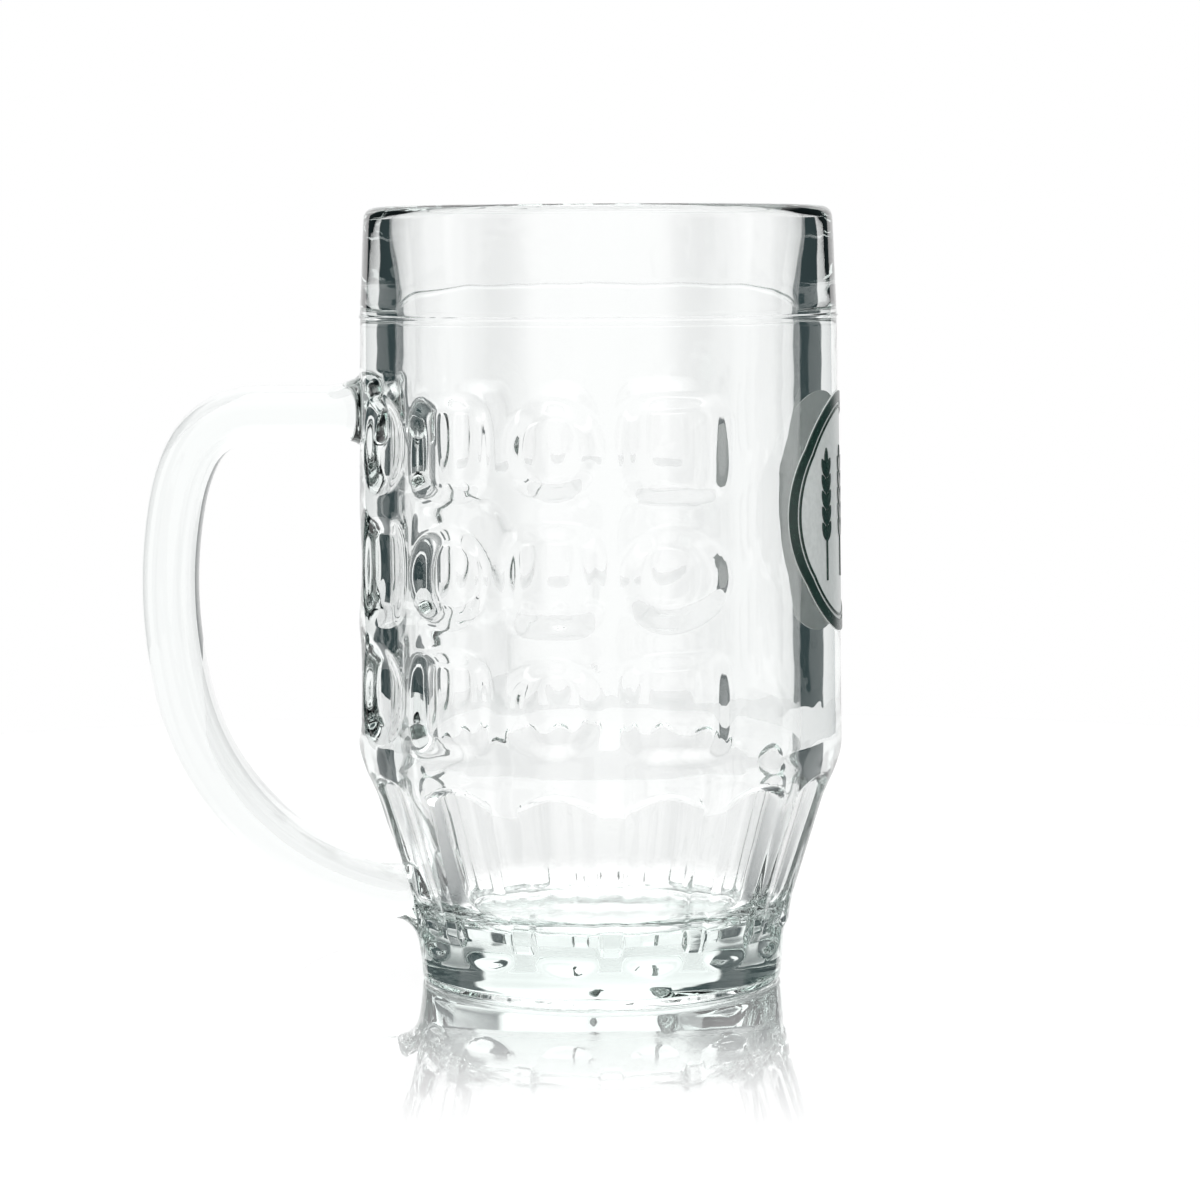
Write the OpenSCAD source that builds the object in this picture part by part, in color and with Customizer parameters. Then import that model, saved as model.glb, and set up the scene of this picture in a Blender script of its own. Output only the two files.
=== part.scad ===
// Half-litre glass beer mug with three rows of pressed dimples and a handle joined on hot.
// Millimetres. The axis of the body is Z, the table is at z = 0,
// the handle points to -X and the printed panel faces +X.

/* [Body] */
// Height of the mug, from the table to the rim
mug_h = 155; // [146:1:180]
// Radius of the barrel just above the shoulder
barrel_r = 48.5; // [47.5:0.1:52]
// How much narrower the barrel is at the ring line
barrel_taper = 0.9; // [0:0.1:2]
// Height of the plain band above the ring line
band_h = 21.7; // [16:0.1:24]
// How much narrower the band is at the rim
band_taper = 0.8; // [0:0.1:1.5]
// Height of the shoulder above the table, where the barrel and the skirt would meet in a corner
shoulder_z = 46.9; // [46:0.1:50]
// Radius of the curve that rounds the shoulder
shoulder_curve_r = 10; // [4:0.5:12]
// How far the ring bead stands out
bead_h = 0.35; // [0.1:0.05:0.8]
// Height of the ring bead along the wall
bead_w = 1.4; // [0.8:0.1:3]

/* [Wall] */
// Thickness of the wall at the rim, rounded over in full
rim_t = 4.8; // [3:0.1:6]
// Thickness of the barrel's wall at the ring line
wall_t = 7.1; // [6:0.1:9]
// Height over which the wall thins out towards the rim
rim_thin_h = 17; // [8:0.5:20]
// Thickness of the glass under the cavity, from the table
floor_z = 14.5; // [9:0.5:20]
// Height over the shoulder at which the bore starts to draw in
bowl_rise = 4.3; // [0:0.1:8]
// Radius of the curve from the bore down into the bowl
bowl_curve_r = 46; // [42:0.5:56]
// Radius of the curve between the bowl and the floor
floor_curve_r = 16; // [8:0.5:20]

/* [Foot] */
// Radius of the foot at the table
foot_r = 36.1; // [34:0.1:40]
// How much wider the foot is at its top
foot_taper = 0.9; // [0:0.1:1.5]
// Height of the plain foot below the flutes
foot_h = 10.6; // [7:0.1:14]
// Radius of the heel's rounding
heel_r = 1.2; // [0.5:0.1:2.5]
// Width of the ring that stands on the table
stand_w = 5; // [3:0.1:8]
// Depth of the hollow under the foot
punt_h = 2.4; // [1:0.1:5]

/* [Flutes] */
// How far the ridges between the flutes stand out over the foot
ridge_step = 0.9; // [0.6:0.1:1.5]
// Height over which the ridges run out onto the foot
ridge_run = 1.8; // [1:0.1:4]
// Height of the top of the flutes above the table
flute_top_z = 42.7; // [38:0.1:43.5]
// Width of a flute at its top
flute_w = 15.4; // [12:0.1:15.4]
// Radius of a flute's hollow
flute_r = 40; // [30:1:60]
// Depth of a flute below its ridges at the top
flute_depth = 1.5; // [1:0.1:2]
// How far a flute's bottom end stands out over the foot
flute_rise = 0.15; // [0.1:0.05:0.4]
// Radius of the arch over a flute
flute_arch_r = 10.5; // [8:0.5:20]
// Number of flutes under the printed panel
panel_flutes = 5; // [4:1:5]

/* [Dimples] */
// Number of rows, of which as many are pressed as fit under the ring line
dimple_rows = 3; // [1:1:3]
// Number of columns
dimple_columns = 9; // [7:2:9]
// Angle from one column to the next
column_pitch = 26.5; // [26:0.1:28]
// Height from one row to the next
row_pitch = 24.5; // [23:0.1:26]
// Plain wall between the shoulder's curve and the lowest row
row_clear = 0.5; // [0.3:0.1:2]
// Width of a square dimple's mouth
square_w = 21.3; // [17:0.1:21.6]
// Height of a square dimple's mouth
square_h = 21.3; // [17:0.1:21.8]
// Reach of a square dimple's rounded corners from its middle
corner_reach = 13; // [12:0.1:14]
// Depth of a square dimple in its middle
square_depth = 2.8; // [2:0.1:3.4]
// Diameter of a round dimple's mouth
round_d = 20.2; // [15:0.1:20.8]
// Depth of a round dimple in its middle
round_depth = 2.8; // [2:0.1:3.4]
// Radius of the hollow in a dimple's floor
hollow_r = 80; // [60:1:120]
// Slope of a square dimple's two side flanks, away from straight in
side_draft = 66; // [55:1:68]
// Slope of the other flanks, away from straight in
end_draft = 52; // [35:1:55]

/* [Handle] */
// Height of the middle of the handle's top arm
handle_z = 114.1; // [110:0.1:116]
// Distance from the body's axis to the end of the top arm's straight stretch
handle_reach = 68.6; // [64:0.1:76]
// Radius of the corner
corner_bend_r = 14.4; // [12:0.1:18]
// Turn of the corner
corner_turn = 64; // [60:1:66]
// Radius of the upper back
upper_back_r = 36; // [30:1:44]
// Turn of the upper back
upper_back_turn = 15; // [12:1:18]
// Radius of the lower back
lower_back_r = 92; // [85:1:100]
// Turn of the lower back
lower_back_turn = 25; // [23:1:27]
// Radius of the sweep in to the foot
sweep_r = 53; // [50:1:56]
// Turn of the sweep
sweep_turn = 67; // [64:1:70]
// Thickness of the handle, seen from the side
handle_t = 11.1; // [8:0.1:13]
// Width of the handle, seen from the back
handle_w = 19; // [14:0.1:22]
// How much the top joint flares out over the handle
top_flare = 2.6; // [1:0.1:3.5]
// Length of the top joint's flare
top_flare_len = 5; // [3:0.1:8]
// How much the foot joint flares out over the handle
low_flare = 5.5; // [2:0.1:6]
// Length of the foot joint's flare
low_flare_len = 9; // [5:0.1:12]
// How deep the handle's ends are carried before they are cut to the body
root_depth = 7; // [6:0.1:10]

/* [Print] */
// Thickness of one fired layer of print
print_t = 0.2; // [0.1:0.05:0.4]
// Width of the medallion, seen straight on
medallion_w = 51; // [48:0.5:60]
// Height of the medallion
medallion_h = 47.6; // [40:0.1:50]
// Height of the medallion's middle over the middle of the barrel's wall
medallion_lift = 3.6; // [-6:0.1:8]
// Turn of the medallion away from straight opposite the handle
medallion_turn = -9; // [-15:1:15]
// Width of the dark border
border_w = 2.2; // [1:0.1:4]
// Gap between the border and the fine line
line_gap = 0.7; // [0.4:0.1:1.5]
// Width of the fine line
line_w = 0.45; // [0.3:0.05:1]
// Height of an ear of barley in the ornament
ear_h = 26; // [20:1:28]
// Distance between the stalks of two ears
ear_pitch = 11.5; // [10:0.5:12]
// Length of one grain
grain_l = 4.2; // [3.6:0.1:4.8]
// Width of one grain
grain_w = 1.7; // [1:0.1:2.2]
// Lean of a grain away from its stalk
grain_lean = 28; // [15:1:40]
// Pairs of grains up each stalk
grain_pairs = 5; // [3:1:6]
// Width of an ear's stalk
stalk_w = 0.6; // [0.4:0.1:1.2]

/* [Hidden] */
$fn = 96;

// One overrun serves all cuts
over = 0.3;

ring_z = mug_h - band_h;
ring_r = barrel_r - barrel_taper;
rim_r = ring_r - band_taper;
lip_r = rim_t / 2;
lip_z = mug_h - lip_r;
bore_r = ring_r - wall_t;

foot_top_r = foot_r + foot_taper;
ridge_r = foot_top_r + ridge_step;
ridge_z = foot_h + ridge_run;
skirt_slope = (barrel_r - ridge_r) / (shoulder_z - ridge_z);
skirt_tilt = atan(skirt_slope);
barrel_tilt = atan(barrel_taper / (ring_z - shoulder_z));
shoulder_run = shoulder_curve_r * tan((skirt_tilt + barrel_tilt) / 2);
shoulder_top_r = barrel_r - shoulder_run * sin(barrel_tilt);
shoulder_top_z = shoulder_z + shoulder_run * cos(barrel_tilt);

// The bowl's curve and the floor's curve touch at one point, bowl_turn round from the end of the bore
bowl_x = bore_r - bowl_curve_r;
bowl_z = shoulder_z + bowl_rise;
floor_curve_z = floor_z + floor_curve_r;
floor_curve_x = bowl_x + sqrt(pow(bowl_curve_r - floor_curve_r, 2) - pow(bowl_z - floor_curve_z, 2));
bowl_turn = atan((floor_curve_z - bowl_z) / (floor_curve_x - bowl_x));
stand_r = foot_r - heel_r - stand_w;
punt_bevel_share = 0.5;

rows = min(dimple_rows, floor((ring_z - shoulder_top_z - row_clear) / row_pitch));
top_row_z = shoulder_top_z + row_clear + max(square_h, round_d) / 2 + (rows - 1) * row_pitch;
half_columns = (dimple_columns - 1) / 2;
panel_pitch = (360 - dimple_columns * column_pitch) / panel_flutes;

medallion_z = (ring_z + shoulder_top_z) / 2 + medallion_lift;
medallion_end_share = 0.8;
medallion_flat_share = 0.95;

function barrel_r_at(z) = barrel_r - barrel_taper * (z - shoulder_z) / (ring_z - shoulder_z);
function skirt_r_at(z) = ridge_r + skirt_slope * (z - ridge_z);
function surface_r_at(z) = min(barrel_r_at(z), max(skirt_r_at(z), foot_top_r));

// Radius of the arc that rises by sag over half a chord
function sag_r(half_chord, sag) = (pow(half_chord, 2) + pow(sag, 2)) / (2 * sag);

// Fall of a round wall of radius r at half_chord from where it is nearest
function fall_at(r, half_chord) = r - sqrt(pow(r, 2) - pow(half_chord, 2));

// A slice of a disc round the origin, between two directions
module pie(r, from_a, to_a) {
    reach = 2 * r;
    intersection() {
        circle(r);
        polygon([[0, 0], [reach * cos(from_a), reach * sin(from_a)], [reach * cos(to_a), reach * sin(to_a)]]);
    }
}

// Half section of the body's outside: foot, ridges, shoulder, barrel, bead and band
module outer_section() {
    polygon([
        [0, 0],
        [foot_r - heel_r, 0],
        [foot_r, heel_r],
        [foot_top_r, foot_h],
        [ridge_r, ridge_z],
        [barrel_r - shoulder_run * sin(skirt_tilt), shoulder_z - shoulder_run * cos(skirt_tilt)],
        [shoulder_top_r, shoulder_top_z],
        [ring_r, ring_z],
        [rim_r, lip_z],
        [0, lip_z]
    ]);
    translate([foot_r - heel_r, heel_r]) circle(heel_r);
    translate([
        shoulder_top_r - shoulder_curve_r * cos(barrel_tilt),
        shoulder_top_z - shoulder_curve_r * sin(barrel_tilt)
    ])
        pie(shoulder_curve_r, -skirt_tilt, barrel_tilt);
    translate([ring_r + bead_h - sag_r(bead_w / 2, bead_h), ring_z]) circle(sag_r(bead_w / 2, bead_h));
}

// Half section of the cavity: floor, bowl, bore and the taper to the rim
module cavity_section() {
    polygon([
        [0, floor_z],
        [floor_curve_x, floor_z],
        [floor_curve_x, floor_curve_z],
        [max(bowl_x, 0), bowl_z],
        [bore_r, bowl_z],
        [bore_r, lip_z - rim_thin_h],
        [rim_r - rim_t, lip_z],
        [rim_r - rim_t, mug_h + over],
        [0, mug_h + over]
    ]);
    translate([floor_curve_x, floor_curve_z]) circle(floor_curve_r);
    translate([bowl_x, bowl_z]) pie(bowl_curve_r, bowl_turn, 0);
}

// Half section of the hollow under the foot: a bevelled edge and a low dome
module punt_section() {
    bevel = punt_h * punt_bevel_share;
    dome_r = sag_r(stand_r - bevel, punt_h - bevel);
    polygon([
        [0, -over],
        [stand_r + over, -over],
        [stand_r - bevel, bevel],
        [0, bevel]
    ]);
    intersection() {
        translate([0, punt_h - dome_r]) circle(dome_r);
        translate([0, bevel]) square([stand_r, punt_h]);
    }
}

// The body as it is turned, before dimples and flutes
module turned_body() {
    rotate_extrude() {
        difference() {
            outer_section();
            cavity_section();
            punt_section();
        }
        translate([rim_r - lip_r, lip_z]) circle(lip_r);
    }
}

// A recess into the wall with two straight flanks, running along Z, its floor at x = 0.
// It is as wide as size where the wall has fallen away by fall.
module drafted_slot(size, depth, fall, draft) {
    floor_half = size / 2 - (depth - fall) * tan(draft);
    mouth_half = size / 2 + (fall + over) * tan(draft);
    linear_extrude(height = row_pitch, center = true)
        polygon([
            [0, -floor_half],
            [depth + over, -mouth_half],
            [depth + over, mouth_half],
            [0, floor_half]
        ]);
}

// The same recess with one round flank
module drafted_round(r, depth, fall, draft) {
    rotate([0, 90, 0])
        cylinder(
            r1 = r - (depth - fall) * tan(draft),
            r2 = r + (fall + over) * tan(draft),
            h = depth + over
        );
}

// What every dimple is cut with: a ball that hollows its floor, kept close to the wall
module dimple_blank(z, depth) {
    intersection() {
        translate([hollow_r, 0, 0]) sphere(hollow_r);
        translate([depth - barrel_r_at(z), 0, -row_pitch / 2])
            cylinder(r = barrel_r + over, h = row_pitch);
    }
}

module square_dimple(z) {
    fall = fall_at(barrel_r, square_w / 2);
    translate([barrel_r_at(z) - square_depth, 0, z])
        intersection() {
            drafted_slot(square_w, square_depth, fall, side_draft);
            rotate([90, 0, 0]) drafted_slot(square_h, square_depth, 0, end_draft);
            drafted_round(corner_reach, square_depth, fall, end_draft);
            dimple_blank(z, square_depth);
        }
}

module round_dimple(z) {
    translate([barrel_r_at(z) - round_depth, 0, z])
        intersection() {
            drafted_round(round_d / 2, round_depth, 0, end_draft);
            dimple_blank(z, round_depth);
        }
}

// Angle of a dimple column from +X, counted from the column under the handle
function column_angle(k) = 180 + k * column_pitch;

// Square and round dimples alternate like a chequerboard. The wall stays plain under the handle's top joint.
module dimples() {
    for (k = [-half_columns:half_columns], row = [0:rows - 1])
        if (k != 0 || row > 0)
            rotate([0, 0, column_angle(k)])
                if ((abs(k) + row) % 2 == 0) square_dimple(top_row_z - row * row_pitch);
                else round_dimple(top_row_z - row * row_pitch);
}

// The front of a flute, seen straight on: straight sides under a flat arch
module flute_front() {
    arch_z = flute_top_z - flute_arch_r;
    intersection() {
        translate([-flute_w / 2, foot_h]) square([flute_w, flute_top_z]);
        union() {
            translate([0, arch_z]) circle(flute_arch_r);
            translate([-flute_arch_r, 0]) square([2 * flute_arch_r, arch_z]);
        }
    }
}

// One flute: a shallow hollow that leans with the skirt and ends on the foot
module flute() {
    foot_x = foot_top_r + flute_rise;
    top_x = skirt_r_at(flute_top_z) - flute_depth;
    lean = atan((top_x - foot_x) / (flute_top_z - foot_h));
    intersection() {
        translate([foot_x, 0, foot_h])
            rotate([0, lean, 0])
                translate([flute_r, 0, 0]) cylinder(r = flute_r, h = 2 * flute_top_z);
        rotate([90, 0, 90]) linear_extrude(height = barrel_r) flute_front();
    }
}

module flutes(columns) {
    for (k = columns) rotate([0, 0, column_angle(k)]) flute();
}

module panel_side_flutes() {
    for (i = [0:panel_flutes - 1]) rotate([0, 0, (i - (panel_flutes - 1) / 2) * panel_pitch]) flute();
}

module glass_body() {
    color([0.86, 0.92, 0.9, 0.55])
        difference() {
            turned_body();
            dimples();
            flutes([-half_columns:half_columns]);
            panel_side_flutes();
        }
}

// The handle's path is a chain of stations [x, z, heading], each a straight run or an arc on from the last
function go(p, d) = [p[0] + d * cos(p[2]), p[1] + d * sin(p[2]), p[2]];
function turn(p, r, a) = [
    p[0] + r * (sin(p[2] + a) - sin(p[2])),
    p[1] - r * (cos(p[2] + a) - cos(p[2])),
    p[2] + a
];

handle_start = [root_depth - barrel_r_at(handle_z), handle_z, 180];
arm_run = handle_start[0] + handle_reach;
arm_end = go(handle_start, arm_run);
corner_end = turn(arm_end, corner_bend_r, corner_turn);
upper_end = turn(corner_end, upper_back_r, upper_back_turn);
lower_end = turn(upper_end, lower_back_r, lower_back_turn);
sweep_end = turn(lower_end, sweep_r, sweep_turn);
root_run = max(root_depth, (root_depth - foot_r - sweep_end[0]) / cos(sweep_end[2]));
flare_steps = 10;
arc_step = 6;

handle_stations = concat(
    [for (i = [0:flare_steps]) go(handle_start, arm_run * i / flare_steps)],
    [for (a = [arc_step / 2:arc_step:corner_turn - arc_step / 2]) turn(arm_end, corner_bend_r, a)],
    [for (a = [0:arc_step:upper_back_turn - arc_step / 2]) turn(corner_end, upper_back_r, a)],
    [for (a = [0:arc_step:lower_back_turn - arc_step / 2]) turn(upper_end, lower_back_r, a)],
    [for (a = [0:arc_step:sweep_turn - arc_step / 2]) turn(lower_end, sweep_r, a)],
    [for (i = [0:flare_steps]) go(sweep_end, root_run * i / flare_steps)]
);

// The handle swells as an elliptic fillet where it comes within len of the body
function swell(p, flare, len) =
    let (near = max(0, min(1, (-p[0] - surface_r_at(p[1])) / len)))
    flare * (1 - sqrt(1 - pow(1 - near, 2)));
function swell_at(p) = p[1] > shoulder_z
    ? swell(p, top_flare, top_flare_len)
    : swell(p, low_flare, low_flare_len);

// Points round one section: an oval with fuller corners
section_sides = 24;
section_fullness_share = 0.8;
function signed_pow(v, e) = sign(v) * pow(abs(v), e);
function section_point(p, a) =
    let (
        grow = swell_at(p),
        across = (handle_t / 2 + grow) * signed_pow(cos(a), section_fullness_share),
        along_y = (handle_w / 2 + grow / 2) * signed_pow(sin(a), section_fullness_share)
    )
    [p[0] - across * sin(p[2]), along_y, p[1] + across * cos(p[2])];

module handle_bar() {
    n = len(handle_stations);
    m = section_sides;
    points = [for (p = handle_stations, j = [0:m - 1]) section_point(p, 360 * j / m)];
    sides = [
        for (i = [0:n - 2], j = [0:m - 1])
            let (a = i * m + j, b = i * m + (j + 1) % m)
            each [[a, b, b + m], [a, b + m, a + m]]
    ];
    ends = [[for (j = [m - 1:-1:0]) j], [for (j = [0:m - 1]) (n - 1) * m + j]];
    polyhedron(points = points, faces = concat(sides, ends));
}

// The outside of the body as the handle meets it: the hot glass fills the flutes under the foot joint
module handle_seat() {
    difference() {
        rotate_extrude() outer_section();
        flutes([-1:1]);
    }
}

module glass_handle() {
    color([0.9, 0.95, 0.93, 0.55])
        difference() {
            handle_bar();
            handle_seat();
        }
}

// One layer of print round half the barrel, from from_t to to_t over the glass
module print_skin(from_t, to_t) {
    rotate([0, 0, -90])
        rotate_extrude(angle = 180)
            polygon([
                [barrel_r + from_t, shoulder_z],
                [barrel_r + to_t, shoulder_z],
                [ring_r + to_t, ring_z],
                [ring_r + from_t, ring_z]
            ]);
}

// A flat shape, drawn round the medallion's middle with Y across and Z up, thrown onto the panel
module on_panel() {
    translate([0, 0, medallion_z])
        rotate([90, 0, 90 + medallion_turn])
            linear_extrude(height = 2 * barrel_r) children();
}

// The medallion's outline, drawn in by inset: two flat arcs that run on into two round ends
module oval(inset) {
    w = medallion_w / 2 - inset;
    h = medallion_h / 2 - inset;
    end_r = h * medallion_end_share;
    end_x = w - end_r;
    touch_r = (pow(end_x, 2) + pow(h, 2) - pow(end_r, 2)) / (2 * (h - end_r));
    touch_x = end_x * touch_r / (touch_r - end_r);
    flat_r = touch_r * medallion_flat_share;
    intersection() {
        translate([0, h - flat_r]) circle(flat_r);
        translate([0, flat_r - h]) circle(flat_r);
        square([2 * touch_x, 2 * h], center = true);
    }
    for (s = [-1, 1]) translate([s * end_x, 0]) circle(end_r);
}

// The silver-grey ground that is fired on first
module print_ground() {
    color([0.76, 0.79, 0.78])
        intersection() {
            print_skin(0, print_t);
            on_panel() oval(0);
        }
}

// The dark green border on top of it
module print_border() {
    color([0.05, 0.16, 0.13])
        intersection() {
            print_skin(print_t, 2 * print_t);
            on_panel()
                difference() {
                    oval(0);
                    oval(border_w);
                }
        }
}

module print_inner_line() {
    color([0.07, 0.24, 0.17])
        intersection() {
            print_skin(print_t, 2 * print_t);
            on_panel()
                difference() {
                    oval(border_w + line_gap);
                    oval(border_w + line_gap + line_w);
                }
        }
}

// One barley grain, lens shaped, with its foot at the origin
module grain() {
    r = sag_r(grain_l / 2, grain_w / 2);
    intersection() {
        translate([r - grain_w / 2, grain_l / 2]) circle(r);
        translate([grain_w / 2 - r, grain_l / 2]) circle(r);
    }
}

// An upright ear of barley: a stalk, pairs of grains up its sides and one on top
module ear() {
    top_z = ear_h / 2 - grain_l;
    rise = (ear_h - grain_l) / (grain_pairs + 2);
    translate([-stalk_w / 2, -ear_h / 2]) square([stalk_w, top_z + ear_h / 2]);
    for (i = [0:grain_pairs - 1], s = [-1, 1])
        translate([s * stalk_w / 2, top_z - i * rise - rise / 2]) rotate(-s * grain_lean) grain();
    translate([0, top_z]) grain();
}

module print_ornament() {
    color([0.04, 0.2, 0.14])
        intersection() {
            print_skin(print_t, 2 * print_t);
            on_panel() for (s = [-1:1]) translate([s * ear_pitch, 0]) ear();
        }
}

glass_body();
glass_handle();
print_ground();
print_border();
print_inner_line();
print_ornament();
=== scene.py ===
"""Half-litre glass beer mug: a pressed body with dimples and flutes, a joined handle and a fired print."""

from math import asin, atan2, cos, degrees, hypot, pi, radians, sin, sqrt, tan

import bmesh
import bpy
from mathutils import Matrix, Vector


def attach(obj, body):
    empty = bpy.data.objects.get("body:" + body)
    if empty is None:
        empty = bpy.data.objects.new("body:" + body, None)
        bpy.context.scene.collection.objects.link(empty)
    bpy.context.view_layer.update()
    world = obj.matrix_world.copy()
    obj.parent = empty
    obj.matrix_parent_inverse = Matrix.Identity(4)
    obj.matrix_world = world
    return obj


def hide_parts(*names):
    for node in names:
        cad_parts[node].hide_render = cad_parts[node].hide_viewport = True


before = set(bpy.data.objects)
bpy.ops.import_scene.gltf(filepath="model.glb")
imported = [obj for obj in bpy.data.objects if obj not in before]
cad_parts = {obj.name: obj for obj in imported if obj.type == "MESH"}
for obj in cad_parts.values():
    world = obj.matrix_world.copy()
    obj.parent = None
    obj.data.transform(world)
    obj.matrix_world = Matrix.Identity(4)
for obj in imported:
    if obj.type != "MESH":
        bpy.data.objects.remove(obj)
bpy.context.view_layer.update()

MM = 0.001

# Rim, barrel and shoulder
MUG_H = 155 * MM
BARREL_R = 48.5 * MM
BARREL_TAPER = 0.9 * MM
RING_Z = 133.3 * MM
RING_R = 47.6 * MM
RIM_R = 46.8 * MM
RIM_T = 4.8 * MM
LIP_R = RIM_T / 2
LIP_Z = MUG_H - LIP_R
BEAD_H = 0.24 * MM
BEAD_HALF_W = 0.54 * MM
BEAD_STEPS = 4
SHOULDER_Z = 46.9 * MM
SHOULDER_CURVE_R = 10 * MM

# Inside: the wall thins out towards the rim, and the bowl's wall runs parallel to the skirt
BORE_R = 40.5 * MM
BORE_BEND_R = 60 * MM
RIM_THIN_H = 17 * MM
RIM_THIN_SHARE = 0.8
BOWL_Z = 49 * MM
BOWL_CURVE_R = 25 * MM
# In degrees
BOWL_TURN = -17.1
FLOOR_Z = 14.5 * MM
FLOOR_CURVE_R = 8 * MM

# Foot: a heel, a standing ring and a domed punt
FOOT_R = 36.1 * MM
FOOT_TOP_R = 37.0 * MM
FOOT_H = 10.6 * MM
FOOT_EASE_R = 1.4 * MM
HEEL_R = 1.2 * MM
STAND_R = 29.9 * MM
STAND_EASE_R = 0.9 * MM
PUNT_H = 2.4 * MM
# How much of the punt's dome comes before its edge is rounded
PUNT_SHARE = 0.95

# Skirt: a cone, drawn in a little between two heights
RIDGE_R = 37.9 * MM
RIDGE_Z = 12.4 * MM
DRAW_DEPTH = 0.75 * MM
DRAW_FOOT_Z = 10 * MM
DRAW_TOP_Z = SHOULDER_Z - 2 * MM
DRAW_RUN = 9 * MM

# Dimples: half sizes of the floor and of the mouth, and the power that makes the outline round or square
SQUARE_DIMPLE = (6.9 * MM, 11.1 * MM, 4.5)
ROUND_DIMPLE = (5.9 * MM, 10.4 * MM, 2.1)
DIMPLE_DEPTH = 1.95 * MM
DIMPLE_ROWS_Z = (108.6 * MM, 84.1 * MM, 59.6 * MM)
HALF_COLUMNS = 4
COLUMN_PITCH = radians(26.5)
# No dimple reaches further than this from its middle
DIMPLE_REACH_ACROSS = 14 * MM
DIMPLE_REACH_UP = 13 * MM
# Next to the print, dimples are wider on its side, and the power keeps that to the side
PANEL_FLOOR = 9.9 * MM
PANEL_MOUTH = 13.4 * MM
PANEL_SIDE_POWER = 4
# A dimple's floor rises with the square of the way from its middle, by these numbers per metre
RISE_ACROSS = 16.6
RISE_ACROSS_TO_PANEL = 5
RISE_UP = 6.3

# Flutes: nine under the dimples and five under the print, with ribs between them
PANEL_FLUTES = 5
PANEL_PITCH = radians(24.3)
FLUTE_TOP_Z = 42.9 * MM
FLUTE_TOP_DEPTH = 1.5 * MM
FLUTE_HOLLOW_R = 60 * MM
FLUTE_ARCH_R = 10.5 * MM
FLUTE_LEDGE = 0.9 * MM
FLUTE_FOOT_Z = 12 * MM
FLUTE_FOOT_R = 36.0 * MM
RIB_HALF = radians(3.3)
RIB_WALL = radians(0.6)
# At the bottom a flute scoops back out to the foot's edge
SCOOP_Z = 6.4 * MM
SCOOP_R = 36.75 * MM
SCOOP_SLOPE = 0.3
SCOOP_BLEND = 1.5 * MM

# The handle: its section, and the bends of its path as radii and turns in degrees
HANDLE_T = 11.1 * MM
HANDLE_W = 19 * MM
HANDLE_FULLNESS = 0.8
HANDLE_Z = 114.1 * MM
HANDLE_REACH = 68.6 * MM
HANDLE_BENDS = ((14.4 * MM, 64), (36 * MM, 15), (92 * MM, 25), (53 * MM, 67))

# The handle's joints: a fillet at each end, which keeps the wall's way and the arm's way for these lengths
TOP_FILLET = 6.5 * MM
TOP_WALL_LEAD = 4.2 * MM
TOP_ARM_LEAD = 7.5 * MM
FOOT_WALL_LEAD = 6.5 * MM
FOOT_ARM_LEAD = 12 * MM
JOINT_LOW_Z, JOINT_HIGH_Z = 107.0 * MM, 122.4 * MM
FOOT_JOINT_Z = 5.4 * MM
JOINT_ROUNDNESS = 3.2
# Half widths in mesh columns and number of mesh rows of the two holes that the handle is joined to
TOP_JOINT = (13, 30)
FOOT_JOINT = (15, 26)
# Places near the side and the middle of each hole
TOP_SIDE, TOP_MIDDLE = (-46 * MM, 14 * MM), (-48 * MM, 0)
FOOT_SIDE, FOOT_MIDDLE = (-37 * MM, 14 * MM), (-42 * MM, 0)

# The glass stands a hair over the wall, so that the print is fused to it. This sets in above the foot
GLAZE_CONTACT = 0.03 * MM
GLAZE_RUN = 2 * MM

# The mesh: columns round the body, and steps between rows, which are fine where a form is pressed in
SEGMENTS = 360
SECTORS = 15
STAND_ROW = 1.5 * MM
FOOT_ROW = 1.3 * MM
SCOOP_ROW = 0.75 * MM
RIDGE_ROW = 0.85 * MM
SKIRT_ROW = 1.7 * MM
ARCH_ROW = 0.45 * MM
BARREL_ROW = 0.84 * MM
JOINT_ROW = 0.5 * MM
ABOVE_DIMPLES_ROW = 2 * MM
BAND_ROW = 3 * MM
RIM_ROW = 2.6 * MM
BORE_ROW = 7 * MM
BOWL_ROW = 4 * MM
FLOOR_ROW = 3.4 * MM
HANDLE_ROW = 2.4 * MM
TOP_FILLET_ROWS = 9
FOOT_FILLET_ROWS = 11
RIDGE_ROWS_TOP_Z = 16 * MM
ARCH_ROWS_LOW_Z, ARCH_ROWS_HIGH_Z = 37.5 * MM, 44 * MM
BARREL_ROWS_TOP_Z = 121 * MM
# Where plain rows start or end next to a curve: a way along, or a way across and a way up
AFTER_STAND = 1.2 * MM
AFTER_HEEL = (0.06 * MM, 0.7 * MM)
BELOW_SCOOP = 0.8 * MM
BEFORE_FOOT_TOP = (0.1 * MM, 1.0 * MM)
AFTER_FOOT_TOP = 1.0 * MM
BEFORE_SHOULDER = 0.2 * MM
BEFORE_RING = 0.9 * MM
AFTER_RING = (0.06 * MM, 1.4 * MM)
AFTER_LIP = (0.05 * MM, 0.6 * MM)
AFTER_BORE_BEND = 5 * MM
AFTER_FLOOR_CURVE = 2.5 * MM
# Points closer than this are one
WELD = 1e-6
# Keeps a division off zero
TINY = 1e-9


def mix(a, b, t):
    return a + (b - a) * t


def mix_point(p, q, t):
    return (mix(p[0], q[0], t), mix(p[1], q[1], t))


def smooth(t):
    """A step from 0 to 1 without a kink."""
    t = min(max(t, 0.0), 1.0)
    return t * t * t * (t * (6 * t - 15) + 10)


def ramp(t, ease=0.22):
    """A straight slope from 0 to 1 with its two ends rounded."""
    t = min(max(t, 0.0), 1.0)
    if t > 0.5:
        return 1 - ramp(1 - t, ease)
    return (t * t / (2 * ease) if t < ease else t - ease / 2) / (1 - ease)


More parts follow.
